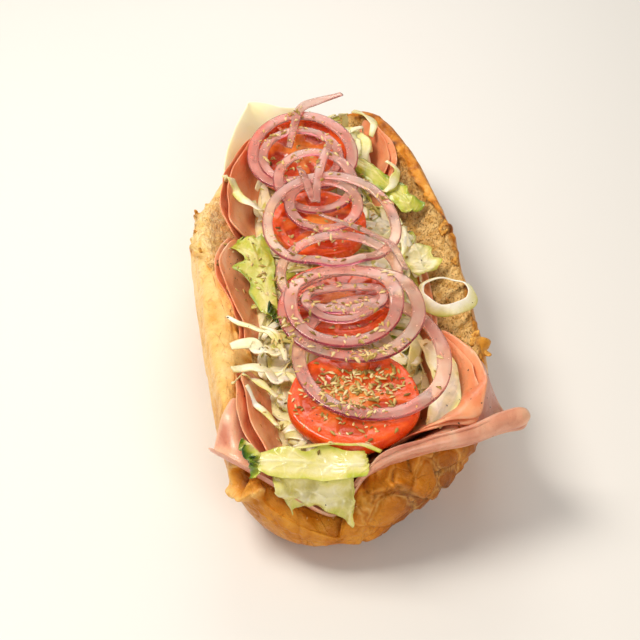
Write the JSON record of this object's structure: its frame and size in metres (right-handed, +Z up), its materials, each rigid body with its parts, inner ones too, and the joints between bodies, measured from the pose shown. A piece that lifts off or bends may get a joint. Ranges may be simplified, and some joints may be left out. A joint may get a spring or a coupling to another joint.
{
  "type": "submarine sandwich",
  "caption": "Open submarine sandwich: a hinged crusty roll filled with folded ham, sliced cheese, shredded lettuce, tomato slices and red onion rings under dried herbs.",
  "frame": {"origin": "middle of the object's box in plan, on the plane that the roll rests on", "axes": "+Z up; +Y along the roll, towards its far end; +X towards the side whose cut face lies open"},
  "size_m": [0.1362, 0.2816, 0.0696],
  "materials": {
    "crust": "baked bread: browned crust outside, pale open crumb on the cut faces",
    "ham": "moist cooked ham, slightly translucent",
    "cheese": "smooth sliced cheese, satin",
    "lettuce": "fresh shredded lettuce, moist and translucent",
    "tomato": "wet cut tomato with glossy skin",
    "onion": "wet translucent red onion with a purple skin edge"
  },
  "bodies": {
    "root": {"bread_roll": "crust", "cheese_slice": "cheese", "ham_far": "ham", "ham_front": "ham", "ham_middle": "ham", "ham_near": "ham", "lettuce_curl": "lettuce", "lettuce_heap": "lettuce", "lettuce_leaf_far_right": "lettuce", "lettuce_leaf_front": "lettuce", "lettuce_leaf_left": "lettuce", "lettuce_leaf_near_right": "lettuce", "lettuce_leaf_notch": "lettuce", "lettuce_leaf_right": "lettuce", "lettuce_strip_left": "lettuce", "lettuce_strip_near": "lettuce", "onion_ring_far_inner": "onion", "onion_ring_far_large": "onion", "onion_ring_middle_wide": "onion", "onion_ring_near_large": "onion", "onion_ring_second_large": "onion", "onion_ring_second_leaning": "onion", "onion_ring_second_small": "onion", "onion_ring_third_inner": "onion", "onion_ring_third_outer": "onion", "onion_ring_third_small": "onion", "onion_strip_cross": "onion", "onion_strip_far": "onion", "onion_strip_second": "onion", "onion_strip_top": "onion", "tomato_slice_1": "tomato", "tomato_slice_2": "tomato", "tomato_slice_3": "tomato", "tomato_slice_4": "tomato"}
  },
  "joints": []
}
